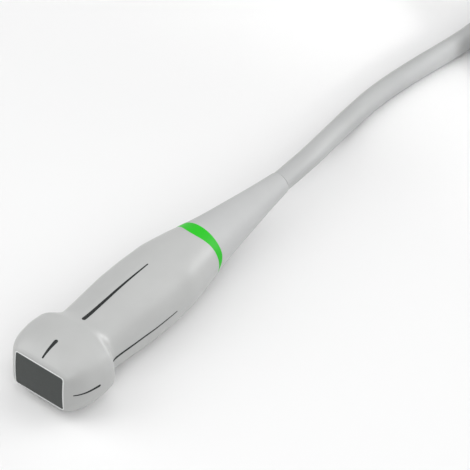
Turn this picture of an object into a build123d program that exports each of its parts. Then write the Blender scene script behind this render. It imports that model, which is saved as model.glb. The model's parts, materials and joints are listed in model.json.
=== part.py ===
from build123d import *
import math
import os

# A phased-array ultrasound probe with its cable and system connector, in millimetres.
# The probe lies on its underside along Y: lens at -Y, cable at +Y, +Z up.
# The origin is under the middle of the probe, lens face to strain relief end, on the floor.
# The cable's spare length is a tied hank behind the probe, with the connector lying on it.

# Probe outline, from the lens face back
LENS_WIDTH = 21.4
LENS_HEIGHT = 14.7
FACE_RIM = 0.55
NOSE_LENGTH = 17.2
NOSE_WIDTH = 36.0
NOSE_HEIGHT = 26.8
SHOULDER_LENGTH = 9.3
NECK_WIDTH = 25.9
NECK_HEIGHT = 24.5
GRIP_FRONT_LENGTH = 25.5
GRIP_WIDTH = 28.5
GRIP_HEIGHT = 26.8
GRIP_REAR_LENGTH = 35.0
TAIL_DIAMETER = 20.8
RELIEF_LENGTH = 42.7
RELIEF_END_DIAMETER = 8.3

# Shells
NOSE_WALL = 1.4
NOSE_FRONT_WALL = 5.0
SHELL_WALL = 1.6
SHELL_FIT = 0.05
SPIGOT_LENGTH = 3.0
SPIGOT_WALL = 1.2
NOSE_JOINT_LENGTH = 24.6
LEDGE_COUNT = 3
LEDGE_LENGTH = 3.0
LEDGE_HEIGHT = 3.0
LEDGE_GAP = 0.3
RELIEF_ROOT_LENGTH = 7.5

# Inlaid strokes: start and end behind the lens face, and the width at each end
INLAY_DEPTH = 0.7
NOSE_TOP_STROKE = (2.0, 10.1, 0.7, 1.5)
NOSE_SIDE_STROKE = (2.3, 12.6, 0.5, 1.1)
GRIP_TOP_STROKE = (23.5, 58.6, 1.5, 0.5)
GRIP_SIDE_STROKE = (23.0, 57.7, 1.1, 0.5)

# Coloured band round the tail: wide on top, running out to a tip low on each side
BAND_DEPTH = 0.8
BAND_TOP_WIDTH = 6.0
BAND_SIDE_WIDTH = 2.9
BAND_TIP_DROP = 2.2

# Acoustic stack, lens first
LENS_THICKNESS = 1.4
LENS_CORNER_RADIUS = 0.8
LENS_CROWN = 0.5
STACK_GAP = 0.3
MATCHING_THICKNESS = 0.3
FOIL_THICKNESS = 0.1
ARRAY_WIDTH = 18.0
ARRAY_HEIGHT = 12.6
ARRAY_THICKNESS = 0.5
ELEMENT_COUNT = 32
KERF_WIDTH = 0.08
FLEX_THICKNESS = 0.15
FLEX_WIDTH = 16.4
FLEX_SLOT = 0.35
CARRIER_WALL = 1.0
CARRIER_LENGTH = 9.5
CARRIER_BACK = 2.0

# Chassis, boards and shields in the handle
CHASSIS_THICKNESS = 2.0
CHASSIS_WIDTH = 21.2
CHASSIS_NECK_WIDTH = 19.0
SPIGOT_GAP = 0.3
NOTCH_WIDTH = 11.0
NOTCH_LENGTH = 8.0
PAD_SIZE = 2.4
PAD_HEIGHT = 1.2
BOARD_WIDTH = 18.0
BOARD_LENGTH = 31.0
BOARD_THICKNESS = 1.0
BOARD_START = 30.0
SOCKET_WIDTH = 17.4
SOCKET_LENGTH = 3.2
SOCKET_HEIGHT = 1.8
SOCKET_INSET = 0.6
SHIELD_WALL = 0.4
SHIELD_GAP = 0.2
SHIELD_HEIGHT = 5.4
SHIELD_OVERHANG = 0.5
FAN_WIDTH = 15.0
FAN_THICKNESS = 1.0
FAN_END_WIDTH = 4.0
FAN_END_THICKNESS = 2.0
FAN_END_GAP = 0.1

# Clamp on the cable's end inside the probe
CLAMP_WIDTH = 15.0
CLAMP_HEIGHT = 6.0
CLAMP_LENGTH = 7.5
JACKET_OVERHANG = 1.0
FERRULE_DIAMETER = 6.4
FERRULE_LENGTH = 3.0
SMALL_SCREW_DIAMETER = 1.6
SMALL_SCREW_LENGTH = 8.0
SMALL_HEAD_DIAMETER = 2.8
SMALL_HEAD_HEIGHT = 1.0
DRIVE_SLOT_SHARE = 0.25
CLAMP_SCREW_SPACING = 11.6
CARRIER_SCREW_SPACING = 9.0
CARRIER_SCREW_LENGTH = 5.0

# Cable and its hank: an oblong coil, two turns wide and two turns high
CABLE_DIAMETER = 7.8
HANK_X = 32.0
HANK_START = 192.0
HANK_RUN = 140.0
HANK_RADIUS = 25.0
HANK_COLUMNS = 2
HANK_LAYERS = 2
HANK_EDGE_SHARE = 0.9
TIE_THICKNESS = 0.8
TIE_WIDTH = 12.0
TIE_TAB_LENGTH = 9.0
LEFT_TIE_Y = 254.0
RIGHT_TIE_Y = 238.0

# System connector, lying on the hank with its contacts down
PLUG_START = 276.0
PLUG_LENGTH = 86.0
PLUG_WIDTH = 60.0
PLUG_CORNER_RADIUS = 6.0
SHROUD_HEIGHT = 6.0
LOWER_HOUSING_HEIGHT = 8.0
UPPER_HOUSING_HEIGHT = 16.0
HOUSING_WALL = 2.0
HOUSING_EDGE_RADIUS = 2.4
BLOCK_WIDTH = 46.0
BLOCK_LENGTH = 66.0
BLOCK_RECESS = 1.0
BLOCK_HEIGHT = 6.4
CONTACT_COLUMNS = 8
CONTACT_ROWS = 6
CONTACT_PITCH = 4.4
CONTACT_SIZE = 1.4
CONTACT_HEIGHT = 0.4
CONTACT_FIELD_START = 9.0
PLUG_BOARD_THICKNESS = 1.6
PLUG_BOARD_MARGIN = 1.0
EXIT_OFFSET = 17.5
PLUG_RELIEF_LENGTH = 24.0
PLUG_RELIEF_DIAMETER = 12.0
PLUG_RELIEF_END_DIAMETER = 9.0
PLUG_FLANGE_DIAMETER = 13.0
PLUG_FLANGE_THICKNESS = 1.5
PLUG_CLAMP_LENGTH = 8.0
PLUG_CLAMP_WIDTH = 15.0
PLUG_CLAMP_SETBACK = 12.0
PLUG_CLAMP_WALL = 1.6
PLUG_FAN_WIDTH = 22.0
PLUG_FAN_LENGTH = 12.0
PLUG_FAN_SHIFT = 3.0
HOUSING_SCREW_DIAMETER = 3.0
HOUSING_SCREW_LENGTH = 18.0
HOUSING_HEAD_DIAMETER = 5.0
HOUSING_HEAD_HEIGHT = 1.8
HOUSING_SCREW_INSET = 4.2
BOSS_DIAMETER = 6.4

# Lock on the connector: a quarter-turn lever on a shaft with a cam at its tip
LOCK_SHAFT_DIAMETER = 8.0
LOCK_CLEARANCE = 0.05
CAM_LENGTH = 15.0
CAM_WIDTH = 4.0
CAM_HEIGHT = 2.6
CAM_CORNER_RADIUS = 1.0
CAM_RECESS = 0.2
CAM_POCKET_GAP = 0.7
BUSH_WALL = 1.6
BUSH_FLANGE = 2.4
BUSH_FLANGE_HEIGHT = 1.2
HUB_DIAMETER = 22.0
HUB_HEIGHT = 3.0
LEVER_LENGTH = 44.0
LEVER_WIDTH = 11.0
LEVER_HEIGHT = 6.0
LEVER_GAP = 0.3
LEVER_SCREW_DIAMETER = 3.0
LEVER_SCREW_LENGTH = 9.0
LEVER_HEAD_DIAMETER = 5.6
LEVER_HEAD_HEIGHT = 1.4
LEVER_EDGE_RADIUS = 1.2
SHAFT_SEAT_DEPTH = 3.0

# Places that follow from the sizes
HANDLE_LENGTH = SHOULDER_LENGTH + GRIP_FRONT_LENGTH + GRIP_REAR_LENGTH
PROBE_LENGTH = NOSE_LENGTH + HANDLE_LENGTH + RELIEF_LENGTH
FACE_Y = -PROBE_LENGTH / 2
TAIL_Y = FACE_Y + NOSE_LENGTH + HANDLE_LENGTH
EXIT_Y = PROBE_LENGTH / 2
JOINT_Y = FACE_Y + NOSE_JOINT_LENGTH
SPIGOT_END_Y = JOINT_Y + SPIGOT_LENGTH
AXIS_Z = max(NOSE_HEIGHT, GRIP_HEIGHT) / 2
CABLE_RADIUS = CABLE_DIAMETER / 2
WALL_Y = FACE_Y + NOSE_FRONT_WALL
CARRIER_END_Y = WALL_Y + CARRIER_LENGTH
ROOT_Y = TAIL_Y - RELIEF_ROOT_LENGTH
CLAMP_Y = ROOT_Y - CLAMP_LENGTH
BOARD_Y = FACE_Y + BOARD_START
BOARD_Z = CHASSIS_THICKNESS / 2 + PAD_HEIGHT
SOCKET_Z = BOARD_Z + BOARD_THICKNESS
HANK_TOP = TIE_THICKNESS + HANK_LAYERS * CABLE_DIAMETER
HANK_OUTER = HANK_RADIUS + HANK_COLUMNS * CABLE_RADIUS
HANK_INNER = HANK_RADIUS - HANK_COLUMNS * CABLE_RADIUS
PLUG_MIDDLE_Y = PLUG_START + PLUG_LENGTH / 2
PLUG_EXIT_X = HANK_X - EXIT_OFFSET
PLUG_SPLIT_Z = HANK_TOP + SHROUD_HEIGHT + LOWER_HOUSING_HEIGHT
PLUG_TOP_Z = PLUG_SPLIT_Z + UPPER_HOUSING_HEIGHT
BLOCK_Z = HANK_TOP + BLOCK_RECESS
PLUG_BOARD_Z = BLOCK_Z + BLOCK_HEIGHT
LOCK_BORE_RADIUS = LOCK_SHAFT_DIAMETER / 2 + LOCK_CLEARANCE
PLUG_RELIEF_Y = PLUG_START - PLUG_RELIEF_LENGTH
OVERRUN = SHELL_WALL  # how far a cut runs past the faces that it opens

# Share of the way along each stretch, share of the way from its first width and height to
# its second, and the squareness of the cross-section there (2 is an ellipse)
nose_shares = [
    (0.0, 0.0, 0.0, 10.0),
    (0.026, 0.12, 0.126, 7.5),
    (0.081, 0.26, 0.26, 5.6),
    (0.174, 0.46, 0.45, 4.4),
    (0.372, 0.74, 0.712, 3.5),
    (0.61, 0.89, 0.874, 3.0),
    (0.826, 0.975, 0.973, 2.7),
    (1.0, 1.0, 1.0, 2.5),
]
shoulder_shares = [
    (0.151, 0.012, 0.012, 2.45),
    (0.247, 0.039, 0.039, 2.45),
    (0.301, 0.075, 0.075, 2.44),
    (0.349, 0.147, 0.147, 2.43),
    (0.409, 0.273, 0.273, 2.42),
    (0.495, 0.475, 0.475, 2.4),
    (0.602, 0.702, 0.702, 2.4),
    (0.753, 0.91, 0.91, 2.37),
    (0.882, 0.985, 0.985, 2.35),
    (1.0, 1.0, 1.0, 2.35),
]
grip_front_shares = [
    (0.176, 0.15, 0.17, 2.3),
    (0.373, 0.42, 0.43, 2.3),
    (0.569, 0.65, 0.74, 2.3),
    (0.765, 0.90, 0.93, 2.3),
    (1.0, 1.0, 1.0, 2.25),
]
grip_rear_shares = [
    (0.171, 0.013, 0.01, 2.25),
    (0.314, 0.065, 0.017, 2.2),
    (0.443, 0.13, 0.067, 2.2),
    (0.557, 0.273, 0.183, 2.15),
    (0.686, 0.468, 0.367, 2.1),
    (0.814, 0.675, 0.60, 2.05),
    (0.914, 0.849, 0.817, 2.0),
    (1.0, 1.0, 1.0, 2.0),
]
# Share of the strain relief's length, and share of its taper still left there
relief_shares = [(0.0, 1.0), (0.21, 0.73), (0.4, 0.54), (0.6, 0.345), (0.8, 0.16), (1.0, 0.0)]
# Points of the band's front edge seen from the side: share of the tail radius above the
# axis, and share of the way from the side width to the top width
band_front_shares = [(0.2, 0.0), (0.55, 0.01), (0.78, 0.12), (0.9, 0.45), (0.97, 0.78), (1.03, 1.0)]
# Points of its rear edge: share of the tail radius above the axis, and share of the side
# width by which it has come forward; then how far forward the tip is
band_rear_shares = [(0.6, 0.0), (0.2, 0.16), (0.0, 0.5)]
BAND_TIP_SHARE = 1.2
# Points of each cross-section's spline
SECTION_POINTS = 32
# Share of the shorter straight run beside it that each bend of the cable takes up
BEND_SHARE = 0.45

# Centre points of the free cable from the strain relief to the hank, and of its tail from
# the hank up to the connector: chosen by hand, in the part's frame
cable_route = [
    (0.0, 64.85, 13.4),
    (-0.5, 80.0, 12.8),
    (-4.5, 95.5, 8.1),
    (-8.0, 111.5, 4.2),
    (-8.9, 128.0, 3.9),
    (-6.9, 146.0, 3.9),
    (-3.6, 165.0, 3.9),
    (-2.4, 177.5, 3.9),
    (-4.3, 191.0, 3.9),
    (-5.9, 204.0, 4.0),
    (-5.3, 219.0, 4.3),
    (-1.6, 234.0, 4.6),
    (3.1, 249.0, 4.7),
]
tail_route = [
    (46.5, 166.9, 12.5),
    (32.0, 163.0, 12.9),
    (17.5, 166.7, 15.4),
    (7.2, 176.5, 18.6),
    (3.4, 190.0, 20.7),
    (5.3, 203.5, 22.4),
    (9.4, 216.5, 25.9),
    (13.0, 229.0, 29.1),
    (14.5, 240.5, 30.4),
    (14.5, 252.0, 30.4),
]


def block(width, length, height, x, y_start, z_start):
    """A box centred across on x, running back from y_start and up from z_start."""
    return Pos(x, y_start + length / 2, z_start + height / 2) * Box(width, length, height)


def rounded_block(width, length, height, radius, x, y_start, z_start):
    """The same box with its four upright edges rounded."""
    face = RectangleRounded(width, length, radius)
    return Pos(x, y_start + length / 2, z_start) * extrude(face, height)


def window(width, height, radius, y_start, length):
    """A rounded rectangle on the probe's axis, running back from y_start."""
    plane = Plane(origin=(0, y_start, AXIS_Z), x_dir=(-1, 0, 0), z_dir=(0, 1, 0))
    return extrude(plane * RectangleRounded(width, height, radius), length)


def rod(radius, length, x, y_start, z):
    """A cylinder along Y."""
    plane = Plane(origin=(x, y_start, z), z_dir=(0, 1, 0))
    return extrude(plane * Circle(radius), length)


def upright(radius, height, x, y, z_start):
    """A cylinder along Z."""
    return Pos(x, y, z_start) * extrude(Circle(radius), height)


def screw(diameter, length, head_diameter, head_height):
    """A pan-head screw standing on its tip at the origin, head at the top."""
    shank = extrude(Circle(diameter / 2), length)
    head = Pos(0, 0, length) * extrude(Circle(head_diameter / 2), head_height)
    slot_width = diameter * DRIVE_SLOT_SHARE
    slot = Pos(0, 0, length + head_height) * Box(head_diameter * 2, slot_width, head_height)
    return shank + head - slot


def mirrored(shape):
    """The same shape on the other side of the probe's middle plane."""
    return mirror(shape, about=Plane.YZ)


def below(shape):
    """The same shape on the other side of the probe's level plane through its axis."""
    return mirror(shape, about=Plane.XY.offset(AXIS_Z))


def group(shapes):
    """Separate solids that share one node."""
    return Compound(children=[solid for shape in shapes for solid in shape.solids()])


def stations():
    """Each cross-section from lens to tail: its y, half width, half height and squareness."""
    face = (LENS_WIDTH / 2 + FACE_RIM, LENS_HEIGHT / 2 + FACE_RIM)
    nose = (NOSE_WIDTH / 2, NOSE_HEIGHT / 2)
    neck = (NECK_WIDTH / 2, NECK_HEIGHT / 2)
    grip = (GRIP_WIDTH / 2, GRIP_HEIGHT / 2)
    tail = (TAIL_DIAMETER / 2, TAIL_DIAMETER / 2)
    stretches = [
        (NOSE_LENGTH, face, nose, nose_shares),
        (SHOULDER_LENGTH, nose, neck, shoulder_shares),
        (GRIP_FRONT_LENGTH, neck, grip, grip_front_shares),
        (GRIP_REAR_LENGTH, grip, tail, grip_rear_shares),
    ]
    rows = []
    start = FACE_Y
    for length, first, second, shares in stretches:
        for along, across, up, squareness in shares:
            half_width = first[0] + (second[0] - first[0]) * across
            half_height = first[1] + (second[1] - first[1]) * up
            rows.append((start + length * along, half_width, half_height, squareness))
        start += length
    return rows


def section(y, half_width, half_height, squareness):
    """A closed superellipse across the axis, as one spline through points near its corners."""
    points = []
    shares = [step / SECTION_POINTS for step in range(SECTION_POINTS + 1)]
    for share in shares[:-1]:
        turn = 2 * math.pi * share
        angle = math.atan2(LENS_HEIGHT * math.sin(turn), LENS_WIDTH * math.cos(turn))
        across = abs(math.cos(angle) / half_width) ** squareness
        up = abs(math.sin(angle) / half_height) ** squareness
        reach = (across + up) ** (-1 / squareness)
        points.append((reach * math.cos(angle), y, AXIS_Z + reach * math.sin(angle)))
    return Wire([Edge.make_spline(points, periodic=True, parameters=shares)])


made_forms = {}


def form(inset=0):
    """The probe's whole outer form, lens to tail, or one that lies inset inside it."""
    if inset not in made_forms:
        wires = [section(y, a - inset, b - inset, n) for y, a, b, n in stations()]
        made_forms[inset] = Solid.make_loft(wires)
    return made_forms[inset]


def between(shape, y_start, y_end):
    """The stretch of a form between two places along the probe."""
    slab = block(NOSE_WIDTH * 2, y_end - y_start, NOSE_HEIGHT * 2, 0, y_start, AXIS_Z - NOSE_HEIGHT)
    return shape & slab


def stroke_face(start, end, start_width, end_width):
    """A stroke with round ends that tapers along the first axis of its plane."""
    first = Pos(FACE_Y + start + start_width / 2, 0) * Circle(start_width / 2)
    second = Pos(FACE_Y + end - end_width / 2, 0) * Circle(end_width / 2)
    return make_hull(first.edges() + second.edges())


def top_stroke_tool(stroke):
    """The column of space over a stroke drawn on top of the probe."""
    plane = Plane(origin=(0, 0, AXIS_Z), x_dir=(0, 1, 0), z_dir=(0, 0, 1))
    return extrude(plane * stroke_face(*stroke), NOSE_HEIGHT)


def side_stroke_tool(stroke):
    """The same for a stroke on the probe's right side."""
    plane = Plane(origin=(0, 0, AXIS_Z), x_dir=(0, 1, 0), z_dir=(1, 0, 0))
    return extrude(plane * stroke_face(*stroke), NOSE_WIDTH)


def inlay(tool, depth):
    """What a tool takes out of the skin, to a given depth under the outer form."""
    return (tool & form()) - form(depth)


def band_tool():
    """The side view of the coloured band, run through the whole tail."""
    radius = TAIL_DIAMETER / 2
    side_y = TAIL_Y - BAND_SIDE_WIDTH
    top_y = TAIL_Y - BAND_TOP_WIDTH
    tip = (TAIL_Y - BAND_SIDE_WIDTH * BAND_TIP_SHARE, -BAND_TIP_DROP)
    front = [(side_y + (top_y - side_y) * way, radius * up) for up, way in band_front_shares]
    rear = [(TAIL_Y - BAND_SIDE_WIDTH * ahead, radius * up) for up, ahead in band_rear_shares]
    roof = radius + BAND_TOP_WIDTH
    outline = Spline(tip, *front)
    outline += Polyline(front[-1], (top_y, roof), (TAIL_Y, roof), rear[0])
    outline += Spline(*rear, tip)
    plane = Plane(origin=(0, 0, AXIS_Z), x_dir=(0, 1, 0), z_dir=(1, 0, 0))
    return extrude(plane * make_face(outline), TAIL_DIAMETER, both=True)


def nose_shell(stroke_tools):
    """Front moulding: the muzzle, its window for the lens, and a spigot into the handle."""
    spigot_start = JOINT_Y - SPIGOT_LENGTH
    spigot_inset = SHELL_WALL + SHELL_FIT
    shell = between(form(), FACE_Y, JOINT_Y)
    shell += between(form(spigot_inset), JOINT_Y - OVERRUN, SPIGOT_END_Y)
    shell -= between(form(NOSE_WALL), WALL_Y, spigot_start)
    shell -= between(form(spigot_inset + SPIGOT_WALL), spigot_start, SPIGOT_END_Y + OVERRUN)
    cut_length = NOSE_FRONT_WALL + 2 * OVERRUN
    shell -= window(LENS_WIDTH, LENS_HEIGHT, LENS_CORNER_RADIUS, FACE_Y - OVERRUN, cut_length)
    for tool in stroke_tools:
        shell -= inlay(tool, INLAY_DEPTH)
    return shell


def ledges():
    """Blocks on the upper shell's inner wall that press on the chassis plate's edges."""
    inner = BOARD_WIDTH / 2 + SHIELD_GAP + SHIELD_WALL + LEDGE_GAP
    width = GRIP_WIDTH / 2 - inner
    z_start = AXIS_Z + CHASSIS_THICKNESS / 2
    first_y = BOARD_Y + LEDGE_LENGTH
    pitch = (BOARD_LENGTH - LEDGE_LENGTH) / (LEDGE_COUNT - 1)
    made = []
    for step in range(LEDGE_COUNT):
        y_start = first_y + pitch * step
        right = block(width, LEDGE_LENGTH, LEDGE_HEIGHT, inner + width / 2, y_start, z_start)
        made += [right, mirrored(right)]
    return [ledge & form(SHELL_WALL / 2) for ledge in made]


def handle_shells(stroke_tools, band):
    """Upper and lower handle mouldings, which meet on the level plane through the axis."""
    hollow = between(form(), JOINT_Y, TAIL_Y) - form(SHELL_WALL)
    for tool in stroke_tools:
        hollow -= inlay(tool, INLAY_DEPTH)
    hollow -= band
    upper_half = block(NOSE_WIDTH * 2, PROBE_LENGTH, NOSE_HEIGHT, 0, FACE_Y, AXIS_Z)
    upper = hollow & upper_half
    lower = hollow - upper_half
    for ledge in ledges():
        upper += ledge
        lower += below(ledge)
    return upper, lower


def strain_relief():
    """Soft moulding that tapers from the tail to the cable, rooted inside the shells."""
    tail_radius = TAIL_DIAMETER / 2
    end_radius = RELIEF_END_DIAMETER / 2
    outline = [
        (end_radius + (tail_radius - end_radius) * left, TAIL_Y + RELIEF_LENGTH * along)
        for along, left in relief_shares
    ]
    profile = Spline(*outline)
    profile += Line(outline[-1], (0, EXIT_Y))
    profile += Line((0, EXIT_Y), (0, TAIL_Y))
    profile += Line((0, TAIL_Y), outline[0])
    body = Pos(0, 0, AXIS_Z) * revolve(make_face(profile), Axis.Y)
    root = between(form(SHELL_WALL + SHELL_FIT), ROOT_Y, TAIL_Y)
    bore = rod(CABLE_RADIUS, PROBE_LENGTH, 0, ROOT_Y - OVERRUN, AXIS_Z)
    return body + root - bore


def lens():
    """Silicone lens that fills the window, crowned a little across its height."""
    blank = window(LENS_WIDTH, LENS_HEIGHT, LENS_CORNER_RADIUS, FACE_Y, LENS_THICKNESS)
    half = LENS_HEIGHT / 2
    radius = (half**2 + LENS_CROWN**2) / (2 * LENS_CROWN)
    plane = Plane(origin=(-LENS_WIDTH, FACE_Y + radius, AXIS_Z), z_dir=(1, 0, 0))
    return blank & extrude(plane * Circle(radius), LENS_WIDTH * 2)


def acoustic_stack():
    """Matching layers, ground foil, diced array, flex circuit, backing and their carrier."""
    width = LENS_WIDTH - 2 * STACK_GAP
    height = LENS_HEIGHT - 2 * STACK_GAP
    radius = LENS_CORNER_RADIUS
    y = FACE_Y + LENS_THICKNESS
    nodes = {}
    for name in ("outer_matching_layer", "inner_matching_layer"):
        nodes[name] = window(width, height, radius, y, MATCHING_THICKNESS)
        y += MATCHING_THICKNESS
    nodes["ground_foil"] = window(width, height, radius, y, FOIL_THICKNESS)
    y += FOIL_THICKNESS
    pitch = ARRAY_WIDTH / ELEMENT_COUNT
    bar_width = pitch - KERF_WIDTH
    base_z = AXIS_Z - ARRAY_HEIGHT / 2
    bars = []
    for step in range(ELEMENT_COUNT):
        x = (step - (ELEMENT_COUNT - 1) / 2) * pitch
        bars.append(block(bar_width, ARRAY_THICKNESS, ARRAY_HEIGHT, x, y, base_z))
    nodes["piezo_array"] = group(bars)
    y += ARRAY_THICKNESS
    nodes["flex_circuit"] = flex_circuit(y)
    y += FLEX_THICKNESS
    back_y = CARRIER_END_Y - CARRIER_BACK
    nodes["backing_block"] = window(width, height, radius, y, back_y - y)
    nodes["stack_carrier"] = stack_carrier(back_y)
    nodes["carrier_screws"] = group([carrier_screw(1), carrier_screw(-1)])
    return nodes


def flex_leg_height():
    """Height above the axis at which the flex circuit runs back over the backing."""
    return LENS_HEIGHT / 2 - STACK_GAP / 2


def flex_circuit(y):
    """One folded film: flat behind the array, back over both sides, and in to the sockets."""
    leg = flex_leg_height()
    middle = y + FLEX_THICKNESS / 2
    slot_y = CARRIER_END_Y + FLEX_SLOT
    socket_y = BOARD_Y + SOCKET_INSET
    socket_z = SOCKET_Z + SOCKET_HEIGHT / 2
    upper = [(middle, leg), (slot_y, leg), (socket_y - FLEX_SLOT, socket_z), (socket_y, socket_z)]
    path = [(side_y, -side_z) for side_y, side_z in reversed(upper)] + upper
    plane = Plane(origin=(0, 0, AXIS_Z), x_dir=(0, 1, 0), z_dir=(1, 0, 0))
    face = trace(Polyline(*path), line_width=FLEX_THICKNESS)
    return extrude(plane * face, FLEX_WIDTH / 2, both=True)


def stack_carrier(back_y):
    """Metal sleeve that holds the backing, with a slotted back wall for the flex circuit."""
    outer = window(
        LENS_WIDTH + 2 * CARRIER_WALL,
        LENS_HEIGHT + 2 * CARRIER_WALL,
        LENS_CORNER_RADIUS + CARRIER_WALL,
        WALL_Y,
        CARRIER_LENGTH,
    )
    pocket_length = back_y - WALL_Y + OVERRUN
    carrier = outer - window(
        LENS_WIDTH, LENS_HEIGHT, LENS_CORNER_RADIUS, WALL_Y - OVERRUN, pocket_length
    )
    cut_y = back_y - OVERRUN
    cut_length = CARRIER_BACK + 2 * OVERRUN
    slot_z = AXIS_Z + flex_leg_height() - FLEX_SLOT / 2
    slot = block(FLEX_WIDTH + FLEX_SLOT, cut_length, FLEX_SLOT, 0, cut_y, slot_z)
    carrier -= slot
    carrier -= below(slot)
    for side in (1, -1):
        x = side * CARRIER_SCREW_SPACING / 2
        carrier -= rod(SMALL_SCREW_DIAMETER / 2, cut_length, x, cut_y, AXIS_Z)
        carrier -= rod(SMALL_HEAD_DIAMETER / 2, SMALL_HEAD_HEIGHT, x, back_y, AXIS_Z)
    return carrier


def carrier_screw(side):
    """Screw through the carrier's back wall into the front edge of the chassis plate."""
    turned = Rot(X=90) * screw(
        SMALL_SCREW_DIAMETER, CARRIER_SCREW_LENGTH, SMALL_HEAD_DIAMETER, SMALL_HEAD_HEIGHT
    )
    head_y = CARRIER_END_Y - CARRIER_BACK + SMALL_HEAD_HEIGHT
    return Pos(side * CARRIER_SCREW_SPACING / 2, head_y + CARRIER_SCREW_LENGTH, AXIS_Z) * turned


def chassis():
    """Plate down the handle's middle, with board pads and a saddle under the cable's end."""
    base_z = AXIS_Z - CHASSIS_THICKNESS / 2
    wide_y = SPIGOT_END_Y + SPIGOT_GAP
    neck_length = wide_y - CARRIER_END_Y
    body = block(CHASSIS_WIDTH, CLAMP_Y - wide_y, CHASSIS_THICKNESS, 0, wide_y, base_z)
    body += block(CHASSIS_NECK_WIDTH, neck_length, CHASSIS_THICKNESS, 0, CARRIER_END_Y, base_z)
    body -= block(NOTCH_WIDTH, NOTCH_LENGTH, CLAMP_HEIGHT, 0, CLAMP_Y - NOTCH_LENGTH, base_z)
    body += block(CLAMP_WIDTH, CLAMP_LENGTH, CLAMP_HEIGHT, 0, CLAMP_Y, AXIS_Z - CLAMP_HEIGHT)
    body -= rod(CABLE_RADIUS, CLAMP_LENGTH + 2 * OVERRUN, 0, CLAMP_Y - OVERRUN, AXIS_Z)
    x = BOARD_WIDTH / 2 - PAD_SIZE / 2
    pad_z = AXIS_Z + CHASSIS_THICKNESS / 2
    for pad_y in (BOARD_Y, BOARD_Y + BOARD_LENGTH - PAD_SIZE):
        for side in (1, -1):
            pad = block(PAD_SIZE, PAD_SIZE, PAD_HEIGHT, side * x, pad_y, pad_z)
            body += pad
            body += below(pad)
    for side in (1, -1):
        body -= carrier_screw(side)
        body -= clamp_screw(side)
    return body


def clamp_screw(side):
    """Screw through the cable clamp into the saddle."""
    x = side * CLAMP_SCREW_SPACING / 2
    z = AXIS_Z + CLAMP_HEIGHT - SMALL_SCREW_LENGTH
    placed = Pos(x, CLAMP_Y + CLAMP_LENGTH / 2, z)
    return placed * screw(
        SMALL_SCREW_DIAMETER, SMALL_SCREW_LENGTH, SMALL_HEAD_DIAMETER, SMALL_HEAD_HEIGHT
    )


def cable_anchor():
    """The clamp over the cable's end, its screws, the jacketed end and the crimp ferrule."""
    clamp = block(CLAMP_WIDTH, CLAMP_LENGTH, CLAMP_HEIGHT, 0, CLAMP_Y, AXIS_Z)
    clamp -= rod(CABLE_RADIUS, CLAMP_LENGTH + 2 * OVERRUN, 0, CLAMP_Y - OVERRUN, AXIS_Z)
    for side in (1, -1):
        clamp -= clamp_screw(side)
    jacket_y = CLAMP_Y - JACKET_OVERHANG
    ferrule_y = jacket_y - FERRULE_LENGTH
    return {
        "cable_clamp": clamp,
        "clamp_screws": group([clamp_screw(1), clamp_screw(-1)]),
        "cable_inner_end": rod(CABLE_RADIUS, EXIT_Y - jacket_y, 0, jacket_y, AXIS_Z),
        "crimp_ferrule": rod(FERRULE_DIAMETER / 2, FERRULE_LENGTH, 0, ferrule_y, AXIS_Z),
    }


def board_set():
    """The upper board with its two sockets, shield and coax fan, and the same set below."""
    board = block(BOARD_WIDTH, BOARD_LENGTH, BOARD_THICKNESS, 0, BOARD_Y, AXIS_Z + BOARD_Z)
    rear_y = BOARD_Y + BOARD_LENGTH - SOCKET_INSET
    sockets = [
        block(SOCKET_WIDTH, SOCKET_LENGTH, SOCKET_HEIGHT, 0, y_start, AXIS_Z + SOCKET_Z)
        for y_start in (BOARD_Y + SOCKET_INSET, rear_y - SOCKET_LENGTH)
    ]
    inner = BOARD_WIDTH + 2 * SHIELD_GAP
    length = BOARD_LENGTH + 2 * SHIELD_OVERHANG
    base_z = AXIS_Z + CHASSIS_THICKNESS / 2
    shield_y = BOARD_Y - SHIELD_OVERHANG
    shield = block(inner + 2 * SHIELD_WALL, length, SHIELD_HEIGHT, 0, shield_y, base_z)
    shield -= block(
        inner, length + 2 * OVERRUN, SHIELD_HEIGHT, 0, shield_y - OVERRUN, base_z - SHIELD_WALL
    )
    ferrule_y = CLAMP_Y - JACKET_OVERHANG - FERRULE_LENGTH
    fan_z = AXIS_Z + SOCKET_Z + SOCKET_HEIGHT / 2
    end_z = AXIS_Z + FAN_END_GAP + FAN_END_THICKNESS / 2
    fan = flat_fan(
        (0, rear_y, fan_z), (FAN_WIDTH, FAN_THICKNESS),
        (0, ferrule_y, end_z), (FAN_END_WIDTH, FAN_END_THICKNESS),
    )
    upper = {
        "board": board, "flex_socket": sockets[0], "coax_socket": sockets[1],
        "shield": shield, "coax_fan": fan,
    }
    nodes = {f"upper_{name}": shape for name, shape in upper.items()}
    nodes.update({f"lower_{name}": below(shape) for name, shape in upper.items()})
    return nodes


def flat_fan(start, start_size, end, end_size):
    """A flat bundle of fine coaxial wires that changes width between two places along Y."""
    faces = []
    for place, size in ((start, start_size), (end, end_size)):
        plane = Plane(origin=place, x_dir=(-1, 0, 0), z_dir=(0, 1, 0))
        faces.append(plane * Rectangle(*size))
    return loft(faces)


def corner_radii(route):
    """The arc's radius at each inner point: its share of the shorter run, over tan of half the turn."""
    points = [Vector(*point) for point in route]
    radii = []
    for before, here, after in zip(points, points[1:], points[2:]):
        first = here - before
        second = after - here
        half_turn = math.radians(first.get_angle(second)) / 2
        radii.append(BEND_SHARE * min(first.length, second.length) / math.tan(half_turn))
    return radii


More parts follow.
